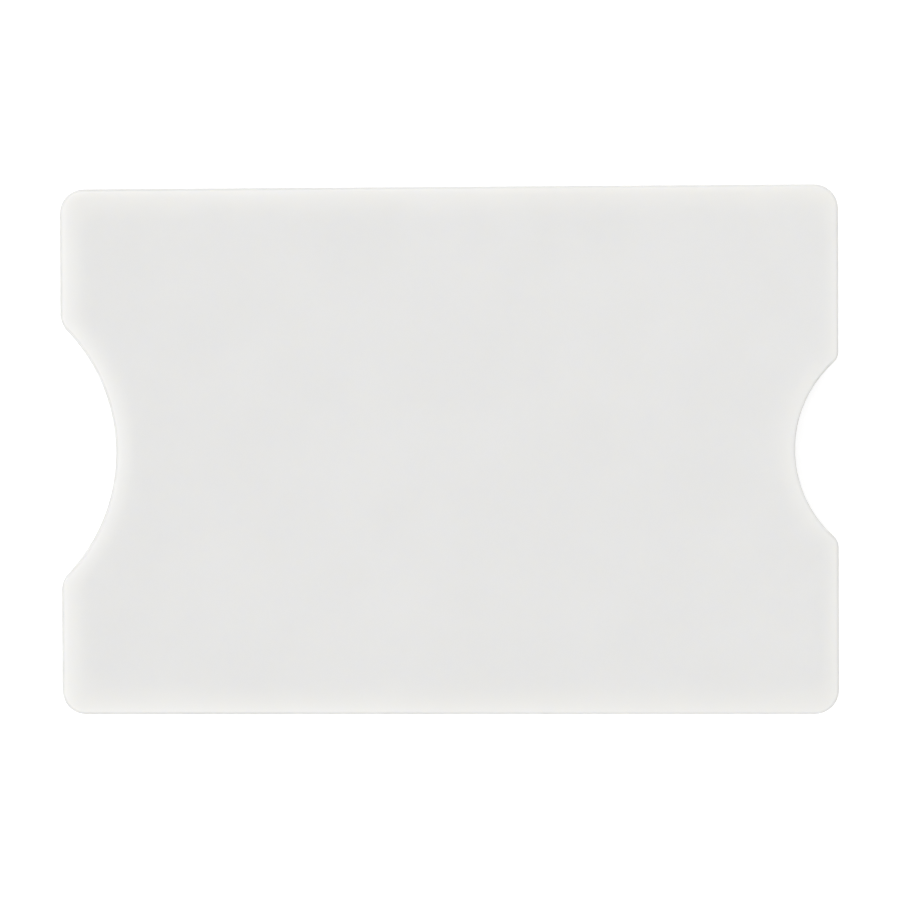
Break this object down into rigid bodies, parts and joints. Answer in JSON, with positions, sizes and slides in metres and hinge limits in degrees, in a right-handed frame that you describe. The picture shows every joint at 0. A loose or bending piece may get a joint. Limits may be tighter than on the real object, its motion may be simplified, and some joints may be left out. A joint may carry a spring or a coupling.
{
  "type": "rfid card sleeve",
  "caption": "Rigid flat plastic sleeve for one bank card, open at one end, with a wide thumb notch, a narrow push-out notch and a foil shield inside each face.",
  "frame": {"origin": "centre of the rear face, which is the bottom when the sleeve lies on it", "axes": "+X along the sleeve from the mouth to the closed end, +Y across it, +Z out of the front face"},
  "size_m": [0.087, 0.059, 0.0034],
  "materials": {
    "shell": "satin moulded white",
    "foil": "bright rolled foil",
    "adhesive": "clear amber adhesive",
    "film": "clear gloss film"
  },
  "bodies": {
    "root": {"front_shell": "shell", "rear_shell": "shell", "front_shield": "foil", "rear_shield": "foil", "front_adhesive": "adhesive", "rear_adhesive": "adhesive", "front_film": "film", "rear_film": "film"}
  },
  "joints": []
}
